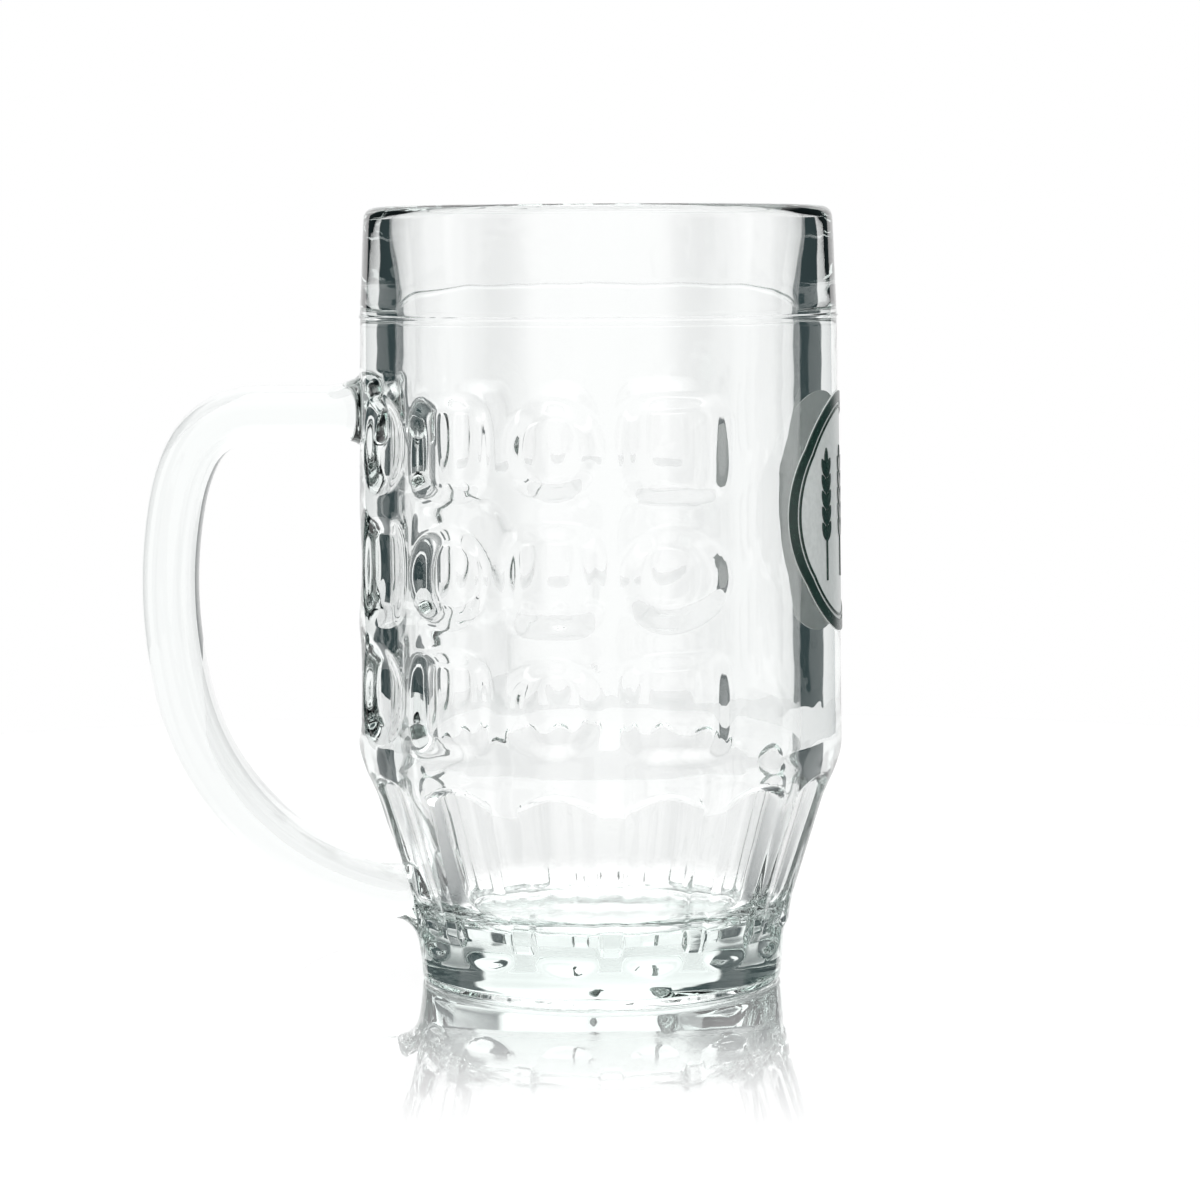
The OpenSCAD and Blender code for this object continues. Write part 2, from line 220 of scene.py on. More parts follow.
def smooth_min(a, b, k):
    """The smaller of two numbers, blended where they are closer than k."""
    h = max(k - abs(a - b), 0) / k
    return min(a, b) - h * h * k / 4


def full_power(v, e):
    """A power that keeps its sign."""
    return abs(v) ** e * (1 if v >= 0 else -1)


def off_by(turn, turns):
    """The smallest signed turn from the nearest of some directions."""
    return min(((turn - t + pi) % (2 * pi) - pi for t in turns), key=abs)


# The outside's radius before the pattern is pressed in
def barrel_r_at(z):
    return BARREL_R - BARREL_TAPER * (z - SHOULDER_Z) / (RING_Z - SHOULDER_Z)


def skirt_r_at(z):
    """The skirt's ribs."""
    cone = RIDGE_R + (BARREL_R - RIDGE_R) * (z - RIDGE_Z) / (SHOULDER_Z - RIDGE_Z)
    return cone - DRAW_DEPTH * smooth((DRAW_TOP_Z - z) / DRAW_RUN) * smooth((z - DRAW_FOOT_Z) / DRAW_RUN)


def wall_r_at(z):
    if z > SHOULDER_Z:
        return barrel_r_at(z)
    return skirt_r_at(z) if z > RIDGE_Z else mix(FOOT_R, FOOT_TOP_R, z / FOOT_H)


# The half section of the body, as points (radius, height)
def run(p, q, step):
    """Points from p towards q, with q left out."""
    n = max(1, round(hypot(q[0] - p[0], q[1] - p[1]) / step))
    return [mix_point(p, q, i / n) for i in range(n)]


def bow(centre, r, start, end, steps):
    """Points on an arc between two directions in degrees, both ends in."""
    turns = [radians(mix(start, end, i / steps)) for i in range(steps + 1)]
    return [(centre[0] + r * cos(a), centre[1] + r * sin(a)) for a in turns]


def eased(p, corner, q, r, steps=3):
    """The rounding of a corner between p and q."""
    corner = Vector(corner)
    a, b = (Vector(p) - corner).normalized(), (Vector(q) - corner).normalized()
    half = a.angle(b) / 2
    centre = corner + (a + b).normalized() * r / sin(half)
    start, end = corner + a * r / tan(half) - centre, corner + b * r / tan(half) - centre
    return [tuple(centre + start.lerp(end, i / steps).normalized() * r) for i in range(steps + 1)]


def punt_and_stand():
    """From the middle of the punt over the standing ring to the heel."""
    bevel = PUNT_H / 2
    dome_half = STAND_R - bevel
    dome_r = (dome_half**2 + bevel**2) / (2 * bevel)
    dome_turn = degrees(asin(dome_half / dome_r))
    punt_edge, stand_edge = (dome_half, bevel), (STAND_R, 0)
    line = bow((0, PUNT_H - dome_r), dome_r, 90, 90 - dome_turn * PUNT_SHARE, steps=6)
    line += eased(line[-1], punt_edge, stand_edge, STAND_EASE_R)
    line += eased(punt_edge, stand_edge, (FOOT_R, 0), STAND_EASE_R)
    return line + run((STAND_R + AFTER_STAND, 0), (FOOT_R - HEEL_R, 0), STAND_ROW)


def foot_wall():
    """Round the heel, up the foot and over its step to the ribs."""
    line = bow((FOOT_R - HEEL_R, HEEL_R), HEEL_R, -90, -5, steps=5)
    low = (FOOT_R + AFTER_HEEL[0], HEEL_R + AFTER_HEEL[1])
    high = (FOOT_TOP_R - BEFORE_FOOT_TOP[0], FOOT_H - BEFORE_FOOT_TOP[1])
    below_scoop = mix_point(low, high, (SCOOP_Z - BELOW_SCOOP - low[1]) / (high[1] - low[1]))
    line += run(low, below_scoop, FOOT_ROW) + run(below_scoop, high, SCOOP_ROW)
    foot_top, ridge_foot = (FOOT_TOP_R, FOOT_H), (RIDGE_R, RIDGE_Z)
    line += eased(line[-1], foot_top, ridge_foot, FOOT_EASE_R)
    return line + eased(foot_top, ridge_foot, (BARREL_R, SHOULDER_Z), FOOT_EASE_R)


def skirt_row_at(z):
    if ARCH_ROWS_LOW_Z < z < ARCH_ROWS_HIGH_Z:
        return ARCH_ROW
    return RIDGE_ROW if z < RIDGE_ROWS_TOP_Z else SKIRT_ROW


def barrel_row_at(z):
    if JOINT_LOW_Z < z < JOINT_HIGH_Z:
        return JOINT_ROW
    return BARREL_ROW if z < BARREL_ROWS_TOP_Z else ABOVE_DIMPLES_ROW


def ring_bead():
    """The low bead that rings the barrel under the plain band."""
    line = []
    for i in range(-BEAD_STEPS, BEAD_STEPS + 1):
        swell = BEAD_H * (0.5 + 0.5 * cos(pi * i / BEAD_STEPS))
        line.append((barrel_r_at(RING_Z) + swell, RING_Z + BEAD_HALF_W * i / BEAD_STEPS))
    return line


def outside_line():
    """From the middle of the punt round the foot and up the outside to the lip."""
    line = punt_and_stand() + foot_wall()
    tilt = atan2(BARREL_TAPER, RING_Z - SHOULDER_Z)
    slope = atan2(BARREL_R - RIDGE_R, SHOULDER_Z - RIDGE_Z)
    reach = SHOULDER_CURVE_R * tan((slope + tilt) / 2)
    z = line[-1][1] + AFTER_FOOT_TOP
    while z < SHOULDER_Z - reach * cos(slope) - BEFORE_SHOULDER:
        line.append((skirt_r_at(z), z))
        z += skirt_row_at(z)
    top_z = SHOULDER_Z + reach * cos(tilt)
    centre = (barrel_r_at(top_z) - SHOULDER_CURVE_R * cos(tilt), top_z - SHOULDER_CURVE_R * sin(tilt))
    line += bow(centre, SHOULDER_CURVE_R, -degrees(slope), degrees(tilt), steps=4)

    z = top_z + BARREL_ROW
    while z < RING_Z - BEFORE_RING:
        line.append((barrel_r_at(z), z))
        z += barrel_row_at(z)
    line += ring_bead()
    line += run((RING_R - AFTER_RING[0], RING_Z + AFTER_RING[1]), (RIM_R, LIP_Z), BAND_ROW)
    return [(r + GLAZE_CONTACT * smooth((z - FOOT_H) / GLAZE_RUN), z) for r, z in line]


def inside_line():
    """From the lip down the inside to the middle of the floor."""
    thin, bore_top, bore_foot = (RIM_R - RIM_T, LIP_Z), (BORE_R, LIP_Z - RIM_THIN_H), (BORE_R, BOWL_Z)
    line = bow((RIM_R - LIP_R, LIP_Z), LIP_R, 0, 180, steps=10)
    under_lip = (thin[0] - AFTER_LIP[0], LIP_Z - AFTER_LIP[1])
    line += run(under_lip, mix_point(thin, bore_top, RIM_THIN_SHARE), RIM_ROW)
    line += eased(thin, bore_top, bore_foot, BORE_BEND_R, steps=6)
    line += run((BORE_R, bore_top[1] - AFTER_BORE_BEND), bore_foot, BORE_ROW)
    *curve, curve_end = bow((BORE_R - BOWL_CURVE_R, BOWL_Z), BOWL_CURVE_R, 0, BOWL_TURN, steps=5)
    turn = radians(BOWL_TURN)
    join_z = FLOOR_Z + FLOOR_CURVE_R * (1 + sin(turn))
    join = (curve_end[0] + (curve_end[1] - join_z) * tan(turn), join_z)
    line += curve + run(curve_end, join, BOWL_ROW)
    flat_r = join[0] - FLOOR_CURVE_R * cos(turn)
    line += bow((flat_r, FLOOR_Z + FLOOR_CURVE_R), FLOOR_CURVE_R, BOWL_TURN, -90, steps=9)
    return line + run((flat_r - AFTER_FLOOR_CURVE, FLOOR_Z), (0, FLOOR_Z), FLOOR_ROW) + [(0, FLOOR_Z)]


# What the mould presses into the outside
def one_dimple(u, v, square, on_panel_side):
    """How far a dimple sinks the wall at a way across and a way up from its middle."""
    floor, mouth, power = SQUARE_DIMPLE if square else ROUND_DIMPLE
    rise_across = RISE_ACROSS
    reach = (abs(u) ** power + abs(v) ** power) ** (1 / power)
    if on_panel_side:
        sideways = min(1, abs(u) / (reach + TINY)) ** PANEL_SIDE_POWER
        floor, mouth = mix(floor, PANEL_FLOOR, sideways), mix(mouth, PANEL_MOUTH, sideways)
        rise_across = RISE_ACROSS_TO_PANEL
    hollow = DIMPLE_DEPTH - rise_across * u * u - RISE_UP * v * v
    return hollow * ramp((mouth - reach) / (mouth - floor))


def dimple_sink(turn, z):
    """How far the wall is sunk by the dimples, at a direction and a height."""
    sink = 0.0
    for k in range(-HALF_COLUMNS, HALF_COLUMNS + 1):
        across = off_by(turn, [pi + k * COLUMN_PITCH])
        u = across * BARREL_R
        if abs(u) > DIMPLE_REACH_ACROSS:
            continue
        on_panel_side = abs(k) == HALF_COLUMNS and across * k > 0
        for row, row_z in enumerate(DIMPLE_ROWS_Z):
            v = z - row_z
            under_handle = k == 0 and row == 0
            if abs(v) > DIMPLE_REACH_UP or under_handle:
                continue
            square = (abs(k) + row) % 2 == 0
            sink = max(sink, one_dimple(u, v, square, on_panel_side))
    return sink


def flute_turns():
    """Directions of the flutes: one under each dimple column, the rest under the printed panel."""
    under_dimples = [pi + k * COLUMN_PITCH for k in range(-HALF_COLUMNS, HALF_COLUMNS + 1)]
    half = (PANEL_FLUTES - 1) / 2
    return under_dimples + [(i - half) * PANEL_PITCH for i in range(PANEL_FLUTES)]


def rib_turns():
    """Directions of the ribs that stand between the flutes."""
    turns = sorted(t % (2 * pi) for t in FLUTE_TURNS)
    return [(a + b) / 2 for a, b in zip(turns, turns[1:] + [turns[0] + 2 * pi])]


FLUTE_TURNS = flute_turns()
RIB_TURNS = rib_turns()


def beside_rib(turn):
    """A mesh column's direction, moved next to the nearest rib's wall, so that the wall is steep."""
    off = off_by(turn, RIB_TURNS)
    past_wall = abs(off) - RIB_HALF
    if abs(past_wall) >= 2 * pi / SEGMENTS:
        return turn
    new = RIB_HALF + (RIB_WALL / 2 if past_wall >= 0 else -RIB_WALL / 2)
    return turn - off + (new if off > 0 else -new)


def flute_floor_at(z):
    """Radius of the middle of a flute, which leans out with the skirt and scoops out at the foot."""
    top_r = skirt_r_at(FLUTE_TOP_Z) - FLUTE_TOP_DEPTH
    lean = mix(FLUTE_FOOT_R, top_r, (z - FLUTE_FOOT_Z) / (FLUTE_TOP_Z - FLUTE_FOOT_Z))
    scoop = SCOOP_R - SCOOP_SLOPE * (z - SCOOP_Z)
    return -smooth_min(-lean, -scoop, SCOOP_BLEND)


def fluted(r, turn, z):
    """The skirt's radius with its flutes cut in between the ribs, under flat arches."""
    across = off_by(turn, FLUTE_TURNS)
    y = skirt_r_at(z) * sin(across)
    cut = (flute_floor_at(z) + y * y / (2 * FLUTE_HOLLOW_R)) / cos(across)
    past_wall = (abs(off_by(turn, RIB_TURNS)) - RIB_HALF) / RIB_WALL
    arch = FLUTE_TOP_Z - FLUTE_ARCH_R + sqrt(max(FLUTE_ARCH_R**2 - y * y, 0))
    inside = smooth(past_wall + 0.5) * smooth((arch + FLUTE_LEDGE / 2 - z) / FLUTE_LEDGE)
    return mix(r, min(r, cut), inside)


def pressed(r, turn, z):
    """The outside's radius at a direction and a height, with the mould's pattern in it."""
    if SCOOP_Z < z < FLUTE_TOP_Z + FLUTE_LEDGE:
        return fluted(r, turn, z)
    if SHOULDER_Z < z < DIMPLE_ROWS_Z[0] + DIMPLE_REACH_UP:
        return r - dimple_sink(turn, z)
    return r


# The handle
def handle_path():
    """Stations along the handle's middle: x, z and heading in radians."""
    x, z, heading = -barrel_r_at(HANDLE_Z) - TOP_FILLET, HANDLE_Z, pi
    stations = [(x, z, heading)]
    top_arm = HANDLE_REACH + x
    n = max(1, round(top_arm / HANDLE_ROW))
    for _ in range(n):
        x -= top_arm / n
        stations.append((x, z, heading))
    for r, turn in HANDLE_BENDS:
        n = max(1, round(r * radians(turn) / HANDLE_ROW))
        for _ in range(n):
            new = heading + radians(turn) / n
            x, z = x + r * (sin(new) - sin(heading)), z - r * (cos(new) - cos(heading))
            heading = new
            stations.append((x, z, heading))
    return stations


def handle_section(station, a):
    """A place on the handle's skin, round from its +Y side towards the finger gap."""
    x, z, heading = station
    inward = HANDLE_T / 2 * full_power(sin(a), HANDLE_FULLNESS)
    y = HANDLE_W / 2 * full_power(cos(a), HANDLE_FULLNESS)
    return Vector((x - inward * sin(heading), y, z + inward * cos(heading)))


def heading_of(station):
    return Vector((cos(station[2]), 0, sin(station[2])))


# Building the glass
def new_piece(name, bm, material):
    mesh = bpy.data.meshes.new(name)
    bm.to_mesh(mesh)
    bm.free()
    piece = bpy.data.objects.new(name, mesh)
    bpy.context.scene.collection.objects.link(piece)
    mesh.materials.append(material)
    for polygon in mesh.polygons:
        polygon.use_smooth = True
    return piece


def spun_body(bm):
    """The turned body with its pattern pressed in. Returns vertices by row and column, and the outline."""
    row_tag = bm.verts.layers.int.new("row")
    outside, inside = outside_line(), inside_line()
    last, edges = None, []
    for row, (r, z) in enumerate(outside + inside):
        v = bm.verts.new((r, 0, z))
        v[row_tag] = row
        if last:
            edges.append(bm.edges.new((last, v)))
        last = v
    about = {"cent": (0, 0, 0), "axis": (0, 0, 1)}
    sector = 2 * pi / SECTORS
    bmesh.ops.spin(bm, geom=list(bm.verts) + edges, angle=sector, steps=SEGMENTS // SECTORS, **about)
    bmesh.ops.spin(
        bm,
        geom=list(bm.verts) + list(bm.edges) + list(bm.faces),
        angle=sector * (SECTORS - 1),
        steps=SECTORS - 1,
        use_duplicate=True,
        **about,
    )
    bmesh.ops.remove_doubles(bm, verts=bm.verts, dist=WELD)
    grid = {}
    for v in bm.verts:
        r, turn = hypot(v.co.x, v.co.y), atan2(v.co.y, v.co.x) % (2 * pi)
        row = v[row_tag]
        grid[row, round(turn / (2 * pi) * SEGMENTS) % SEGMENTS] = v
        if row < len(outside) and r > STAND_R:
            if SCOOP_Z < v.co.z < FLUTE_TOP_Z:
                turn = beside_rib(turn)
            new = pressed(r, turn, v.co.z)
            v.co.x, v.co.y = new * cos(turn), new * sin(turn)
    return grid, outside


def joint_rows(outside, low_z, rows, least_r):
    """First and last row of a joint's patch."""
    wide_enough = [i for i, (r, z) in enumerate(outside) if r > least_r]
    low = min(wide_enough, key=lambda i: abs(outside[i][1] - low_z))
    return low, low + rows


def patch_ring(low, high, left, right):
    """Rows and columns of the mesh round the edge of a patch."""
    corners = [(low, left), (low, right), (high, right), (high, left)]
    ring = []
    for (i0, j0), (i1, j1) in zip(corners, corners[1:] + corners[:1]):
        n = max(abs(i1 - i0), abs(j1 - j0))
        ring += [(i0 + (i1 - i0) * s // n, j0 + (j1 - j0) * s // n) for s in range(n)]
    return ring


def open_joint(bm, grid, rows, half_columns):
    """Takes a patch out of the body and rounds its edge. Returns the edge, and how the wall runs into it."""
    low, high = rows
    middle = SEGMENTS // 2
    left, right = middle - half_columns, middle + half_columns
    inner = [grid[i, j] for i in range(low + 1, high) for j in range(left + 1, right)]
    edge, leads = [], []
    for i, j in patch_ring(low, high, left, right):
        v = grid[i, j]
        outer = grid[i + (i == high) - (i == low), j + (j == right) - (j == left)]
        edge.append(v)
        leads.append((v.co - outer.co).normalized())
    low_z, high_z = grid[low, middle].co.z, grid[high, middle].co.z
    middle_z, half_z = (low_z + high_z) / 2, (high_z - low_z) / 2
    half_turn = half_columns * 2 * pi / SEGMENTS
    bmesh.ops.delete(bm, geom=inner, context="VERTS")
    for v in edge:
        u, w = off_by(atan2(v.co.y, v.co.x), [pi]) / half_turn, (v.co.z - middle_z) / half_z
        pull = (abs(u) ** JOINT_ROUNDNESS + abs(w) ** JOINT_ROUNDNESS) ** (-1 / JOINT_ROUNDNESS)
        turn, z = pi + u * pull * half_turn, middle_z + w * pull * half_z
        r = pressed(wall_r_at(z), turn, z) + GLAZE_CONTACT
        v.co = (r * cos(turn), r * sin(turn), z)
    return edge, leads


def turned_to(edge, leads, start_at, then_at):
    """The same ring, started at the vertex nearest one point and running towards another."""
    n = len(edge)
    start = min(range(n), key=lambda i: (edge[i].co - Vector(start_at)).length)
    forward, backward = (edge[(start + quarter) % n].co - Vector(then_at) for quarter in (n // 4, -(n // 4)))
    step = 1 if forward.length < backward.length else -1
    order = [(start + step * i) % n for i in range(n)]
    return [edge[i] for i in order], [leads[i] for i in order]


def hermite(p, lead_p, q, lead_q, t):
    """A place on the curve that leaves p along one lead and comes to q along the other."""
    t2, t3 = t * t, t * t * t
    return (
        p * (2 * t3 - 3 * t2 + 1)
        + lead_p * (t3 - 2 * t2 + t)
        + q * (3 * t2 - 2 * t3)
        + lead_q * (t3 - t2)
    )


def first_ring(bm, edge):
    """An open ring of edges on a joint's edge, with its vertices tagged by their order."""
    tag = bm.verts.layers.int.new("spoke")
    ring = []
    for i, v in enumerate(edge):
        new = bm.verts.new(v.co)
        new[tag] = i
        ring.append(new)
    for v, after in zip(ring, ring[1:] + ring[:1]):
        bm.edges.new((v, after))
    return ring


def add_ring(bm, ring, points):
    """Draws the tube's open end out by one ring of faces, to new places."""
    tag = bm.verts.layers.int["spoke"]
    edges = [bm.edges.get((v, after)) for v, after in zip(ring, ring[1:] + ring[:1])]
    made = bmesh.ops.extrude_edge_only(bm, edges=edges)["geom"]
    new = sorted((g for g in made if isinstance(g, bmesh.types.BMVert)), key=lambda v: v[tag])
    for v, p in zip(new, points):
        v.co = p
    return new


def add_fillet(bm, ring, starts, ends, rows):
    """Draws the tube on along curves, each from a place and a lead to a place and a lead."""
    for row in range(1, rows + 1):
        points = [hermite(*start, *end, row / rows) for start, end in zip(starts, ends)]
        ring = add_ring(bm, ring, points)
    return ring


def drawn_handle(top, foot):
    """The handle, drawn out of the top joint's edge, along its path, and on to the foot joint's edge."""
    n = len(top[0])
    turns = [2 * pi * i / n for i in range(n)]
    stations = handle_path()
    first, last = stations[0], stations[-1]
    bm = bmesh.new()
    ring = first_ring(bm, top[0])
    wall = [(v.co, lead * TOP_WALL_LEAD) for v, lead in zip(*top)]
    arm = [(handle_section(first, a), heading_of(first) * TOP_ARM_LEAD) for a in turns]
    ring = add_fillet(bm, ring, wall, arm, TOP_FILLET_ROWS)
    for station in stations[1:]:
        ring = add_ring(bm, ring, [handle_section(station, a) for a in turns])
    arm = [(v.co.copy(), heading_of(last) * FOOT_ARM_LEAD) for v in ring]
    wall = [(v.co, -lead * FOOT_WALL_LEAD) for v, lead in zip(*foot)]
    add_fillet(bm, ring, arm, wall, FOOT_FILLET_ROWS)
    mesh = bpy.data.meshes.new("handle")
    bm.to_mesh(mesh)
    bm.free()
    return mesh


def make_glass(material):
    """Body and handle in one closed skin, as glass that is joined hot."""
    bm = bmesh.new()
    grid, outside = spun_body(bm)
    top_rows = joint_rows(outside, JOINT_LOW_Z, TOP_JOINT[1], BORE_R)
    foot_rows = joint_rows(outside, FOOT_JOINT_Z, FOOT_JOINT[1], FOOT_R - MM)
    top_z, foot_z = ([outside[i][1] for i in rows] for rows in (top_rows, foot_rows))
    top = open_joint(bm, grid, top_rows, TOP_JOINT[0])
    foot = open_joint(bm, grid, foot_rows, FOOT_JOINT[0])
    # Both rings start on the +Y side and run towards the finger gap
    top = turned_to(*top, (*TOP_SIDE, sum(top_z) / 2), (*TOP_MIDDLE, top_z[0]))
    foot = turned_to(*foot, (*FOOT_SIDE, sum(foot_z) / 2), (*FOOT_MIDDLE, foot_z[1]))
    bm.from_mesh(drawn_handle(top, foot))
    bmesh.ops.remove_doubles(bm, verts=bm.verts, dist=WELD)
    bmesh.ops.recalc_face_normals(bm, faces=bm.faces)
    return new_piece("mug_glass", bm, material)


# Materials
def fill_inputs(tree, node, inputs):
    """Sets a node's inputs to plain values, or links them to the outputs that are given."""
    for name, value in inputs.items():
        if isinstance(value, bpy.types.NodeSocket):
            tree.links.new(value, node.inputs[name])
        else:
            node.inputs[name].default_value = value


def add_node(tree, kind, inputs):
    node = tree.nodes.new("ShaderNode" + kind)
    fill_inputs(tree, node, inputs)
    return node


def worked_out(tree, kind, operation, *values):
    """The result of one sum, on numbers (Math) or on places (VectorMath)."""
    node = tree.nodes.new("ShaderNode" + kind)
    node.operation = operation
    fill_inputs(tree, node, dict(enumerate(values)))
    return node.outputs["Value"]


def spread(tree, value, stretch, onto, easing="LINEAR"):
    """A value on one stretch of numbers, carried over onto another stretch."""
    node = tree.nodes.new("ShaderNodeMapRange")
    node.interpolation_type = easing
    (start, end), (low, high) = stretch, onto
    inputs = {"Value": value, "From Min": start, "From Max": end, "To Min": low, "To Max": high}
    fill_inputs(tree, node, inputs)
    return node.outputs["Result"]


def place_on_piece(tree):
    return add_node(tree, "TexCoord", {}).outputs["Object"]


def noise(tree, place, scale, detail):
    return add_node(tree, "TexNoise", {"Vector": place, "Scale": scale, "Detail": detail}).outputs["Fac"]


def seen_by_camera(tree):
    return add_node(tree, "LightPath", {}).outputs["Is Camera Ray"]


def mixed_shader(tree, share, first, second):
    return add_node(tree, "MixShader", {"Fac": share, 1: first.outputs[0], 2: second.outputs[0]}).outputs[0]


def blank_material(name):
    material = bpy.data.materials.new(name)
    material.use_nodes = True
    tree = material.node_tree
    return material, tree, tree.nodes["Principled BSDF"]


# The glass: its tint, slow waves from the mould, and a fine stipple on the bowl's floor
GLASS_TINT = (0.45, 0.8, 0.68, 1)
WAVE_SCALE, WAVE_DETAIL = 70, 1.5
STIPPLE_SCALE, STIPPLE_DETAIL, STIPPLE_SHARE = 900, 2, 0.9
STIPPLE_R, STIPPLE_END_R = 22 * MM, 26 * MM
STIPPLE_HALF_H = 0.6 * MM


def worn_floor(tree, place):
    """The fine stipple that spoons and washing leave on the bowl's flat floor."""
    off_middle = worked_out(tree, "VectorMath", "DISTANCE", place, (0, 0, FLOOR_Z))
    within = spread(tree, off_middle, (STIPPLE_R, STIPPLE_END_R), (1.0, 0.0))
    height = add_node(tree, "SeparateXYZ", {0: place}).outputs["Z"]
    level = worked_out(tree, "Math", "COMPARE", height, FLOOR_Z, STIPPLE_HALF_H)
    on_floor = worked_out(tree, "Math", "MULTIPLY", level, within)
    return worked_out(tree, "Math", "MULTIPLY", on_floor, noise(tree, place, STIPPLE_SCALE, STIPPLE_DETAIL))


def clear_glass():
    """Clear pressed glass with a breath of green and the slight waves that a mould leaves."""
    material, tree, shader = blank_material("clear_pressed_glass")
    place = place_on_piece(tree)
    waves = noise(tree, place, WAVE_SCALE, WAVE_DETAIL)
    relief = worked_out(tree, "Math", "MULTIPLY_ADD", worn_floor(tree, place), STIPPLE_SHARE, waves)
    bump = add_node(tree, "Bump", {"Height": relief, "Strength": 0.25, "Distance": 0.4 * MM})
    finish = {
        "Base Color": (1, 1, 1, 1),
        "Roughness": 0.0,
        "IOR": 1.52,
        "Transmission Weight": 1.0,
        "Normal": bump.outputs["Normal"],
    }
    fill_inputs(tree, shader, finish)
    tint = add_node(tree, "VolumeAbsorption", {"Color": GLASS_TINT, "Density": 3.0})
    fill_inputs(tree, tree.nodes["Material Output"], {"Volume": tint.outputs["Volume"]})
    return material


# The enamel: its colours, its light and dark spots, and how far its roughness varies
SILVER, SILVER_DARKER = (0.62, 0.65, 0.64, 1), (0.55, 0.58, 0.57, 1)
GREEN, GREEN_DARKER = (0.010, 0.035, 0.026, 1), (0.006, 0.022, 0.017, 1)
MOTTLE_SCALE, MOTTLE_DETAIL = 900, 4
MOTTLE_DARK, MOTTLE_LIGHT = 0.35, 0.65
SMOOTHER, ROUGHER = 0.8, 1.25


def enamel(name, colour, darker, roughness):
    """Fired enamel: a thin glossy coat with the slight mottling of a screened layer."""
    material, tree, shader = blank_material(name)
    mottle = noise(tree, place_on_piece(tree), MOTTLE_SCALE, MOTTLE_DETAIL)
    tone = add_node(tree, "ValToRGB", {"Fac": mottle})
    dark_spot, light_spot = tone.color_ramp.elements
    dark_spot.position, dark_spot.color = MOTTLE_DARK, darker
    light_spot.position, light_spot.color = MOTTLE_LIGHT, colour
    bump = add_node(tree, "Bump", {"Height": mottle, "Strength": 0.15, "Distance": 0.05 * MM})
    finish = {
        "Base Color": tone.outputs["Color"],
        "Roughness": spread(tree, mottle, (0, 1), (roughness * SMOOTHER, roughness * ROUGHER)),
        "Normal": bump.outputs["Normal"],
    }
    fill_inputs(tree, shader, finish)
    return material


def dress_print():
    silver = enamel("silver_grey_enamel", SILVER, SILVER_DARKER, roughness=0.3)
    green = enamel("dark_green_enamel", GREEN, GREEN_DARKER, roughness=0.25)
    finishes = {
        "print_ground": silver,
        "print_border": green,
        "print_inner_line": green,
        "print_ornament": green,
    }
    for name, material in finishes.items():
        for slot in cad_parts[name].material_slots:
            slot.material = material


# Studio
PAPER = (1.0, 1.0, 1.0, 1)
SLATE = (0.036, 0.055, 0.058, 1)
# The studio's wall on either side, from behind the mug (0) round to the camera (1)
WALL_TONE_SHARES = (
    (0.0, PAPER),
    (0.158, PAPER),
    (0.165, SLATE),
    (0.40, SLATE),
    (0.43, PAPER),
    (0.57, PAPER),
    (0.60, SLATE),
    (0.74, SLATE),
    (0.80, PAPER),
    (1.0, PAPER),
)
# Directions by how far they rise: where the overhead light sets in, and where the walls get brighter
OVERHEAD = (1.3, 1.3, 1.3, 1)
OVERHEAD_RISE = (0.45, 0.7)
LIFT_RISE, LIFT = (0.1, 0.4), (1.0, 1.25)

# The table top, how bright it glows on the glass and to the camera, and its polished middle
TABLE_R = 420 * MM
TABLE_SEGMENTS = 96
TABLE_DROP = 0.08 * MM
TABLE_GLOW = (0.09, 0.34)
POLISH_R, POLISH_END_R = 25 * MM, 160 * MM
POLISH = 0.8


def make_floor():
    """A round white table top, polished like a mirror where the mug stands."""
    bm = bmesh.new()
    bmesh.ops.create_circle(bm, cap_ends=True, segments=TABLE_SEGMENTS, radius=TABLE_R)
    bmesh.ops.translate(bm, verts=bm.verts, vec=(0, 0, -TABLE_DROP))
    material, tree, shader = blank_material("pale_floor")
    pale = {
        "Base Color": (0.62, 0.62, 0.62, 1),
        "Roughness": 0.5,
        "IOR": 1.1,
        "Emission Color": PAPER,
        "Emission Strength": spread(tree, seen_by_camera(tree), (0, 1), TABLE_GLOW),
    }
    fill_inputs(tree, shader, pale)
    mirror = add_node(tree, "BsdfPrincipled", {"Base Color": PAPER, "Metallic": 1.0, "Roughness": 0.02})
    off_middle = worked_out(tree, "VectorMath", "LENGTH", place_on_piece(tree))
    polish = spread(tree, off_middle, (POLISH_R, POLISH_END_R), (POLISH, 0.0), "SMOOTHSTEP")
    fill_inputs(tree, tree.nodes["Material Output"], {"Surface": mixed_shader(tree, polish, shader, mirror)})
    floor = new_piece("pale_floor", bm, material)


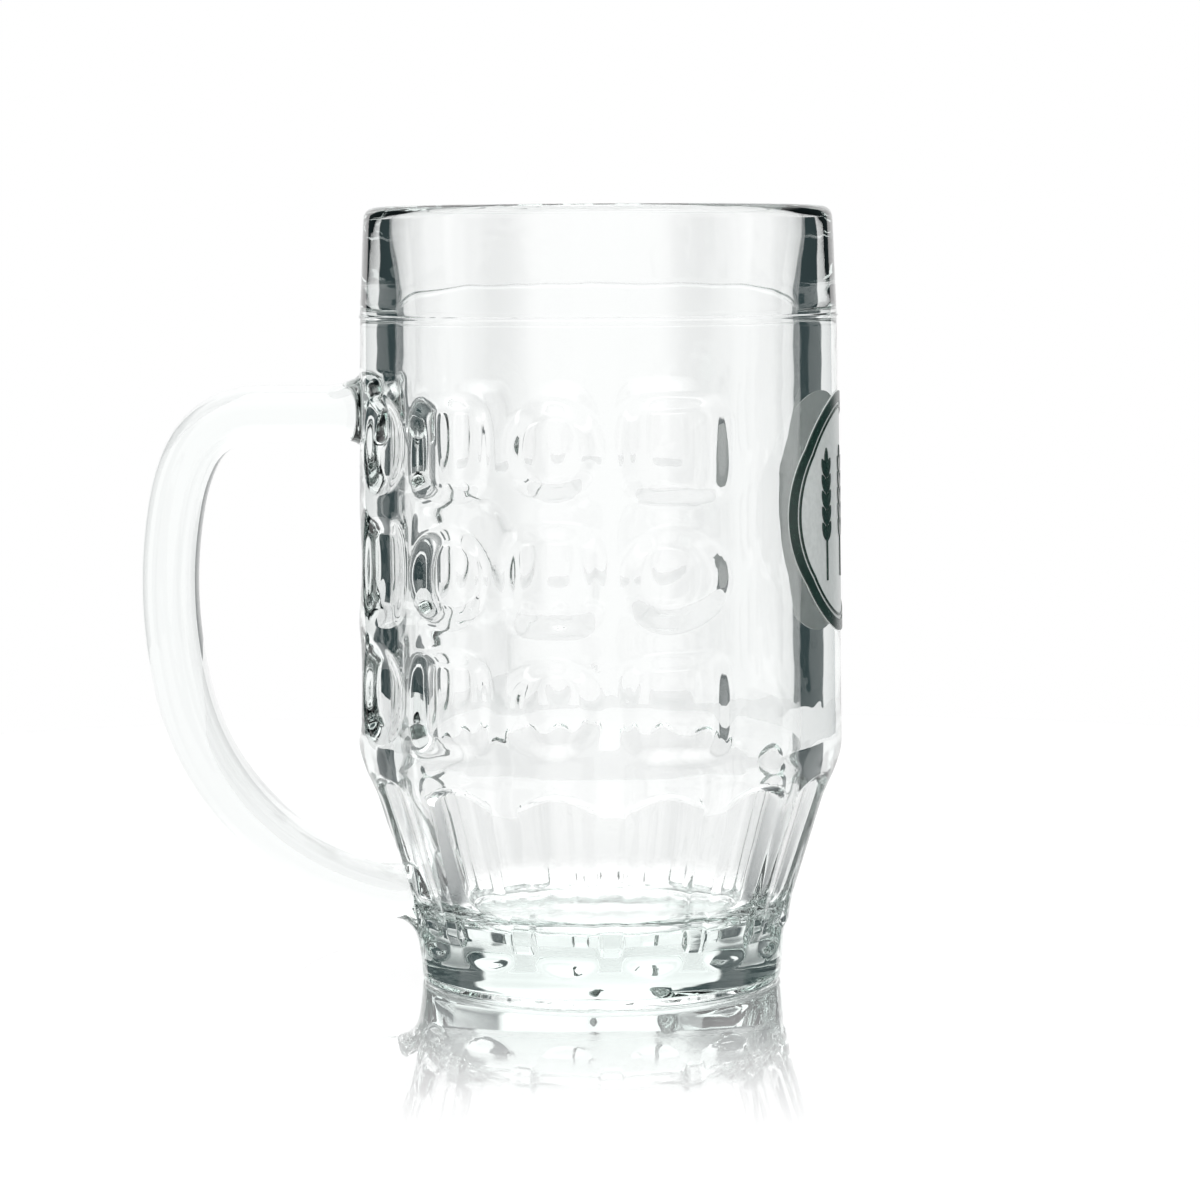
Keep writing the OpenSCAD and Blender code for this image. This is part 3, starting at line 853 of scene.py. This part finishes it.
def wall_tone(tree, x, y):
    """The tone of the studio's wall all round, the same on both sides."""
    either_side = worked_out(tree, "Math", "ABSOLUTE", worked_out(tree, "Math", "ARCTAN2", x, y))
    wall = add_node(tree, "ValToRGB", {"Fac": worked_out(tree, "Math", "DIVIDE", either_side, pi)})
    elements = wall.color_ramp.elements
    for share, _ in WALL_TONE_SHARES[1:-1]:
        elements.new(share)
    for element, (share, tone) in zip(elements, WALL_TONE_SHARES):
        element.position, element.color = share, tone
    return wall.outputs["Color"]


def studio_light():
    """A pale studio: a white wall all round with darker gaps beside it, and a soft light overhead."""
    world = bpy.data.worlds.new("studio")
    bpy.context.scene.world = world
    world.use_nodes = True
    tree = world.node_tree
    tree.nodes.clear()
    direction = add_node(tree, "TexCoord", {}).outputs["Generated"]
    x, y, rise = add_node(tree, "SeparateXYZ", {0: direction}).outputs
    blend = tree.nodes.new("ShaderNodeMix")
    blend.data_type = "RGBA"
    overhead = spread(tree, rise, OVERHEAD_RISE, (0, 1), "SMOOTHSTEP")
    fill_inputs(tree, blend, {"Factor": overhead, "A": wall_tone(tree, x, y), "B": OVERHEAD})
    lift = spread(tree, rise, LIFT_RISE, LIFT, "SMOOTHSTEP")
    studio = add_node(tree, "Background", {"Color": blend.outputs["Result"], "Strength": lift})
    backdrop = add_node(tree, "Background", {"Color": PAPER})
    add_node(tree, "OutputWorld", {"Surface": mixed_shader(tree, seen_by_camera(tree), studio, backdrop)})


# The camera: turns in degrees
CAMERA_AT = (0.4 * MM, -733 * MM, 145.3 * MM)
CAMERA_PITCH, CAMERA_ROLL = 3.33, 0.3
CAMERA_LENS, CAMERA_SENSOR_W, CAMERA_SHIFT = 109.8, 36, -0.11


def make_camera():
    """The camera stands a little lower than the rim and looks slightly down."""
    data = bpy.data.cameras.new("camera")
    data.sensor_width = CAMERA_SENSOR_W
    data.lens = CAMERA_LENS
    data.shift_y = CAMERA_SHIFT
    camera = bpy.data.objects.new("camera", data)
    camera.location = CAMERA_AT
    camera.rotation_euler = (radians(90 - CAMERA_PITCH), radians(CAMERA_ROLL), 0)
    bpy.context.scene.collection.objects.link(camera)
    bpy.context.scene.camera = camera


make_camera()
studio_light()
make_floor()
glass = make_glass(clear_glass())
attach(glass, "root")
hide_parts("glass_body", "glass_handle")
dress_print()

scene = bpy.context.scene
scene.view_settings.view_transform = "Standard"
scene.cycles.max_bounces = 32
scene.cycles.transmission_bounces = 32
scene.cycles.glossy_bounces = 8

bpy.context.view_layer.update()
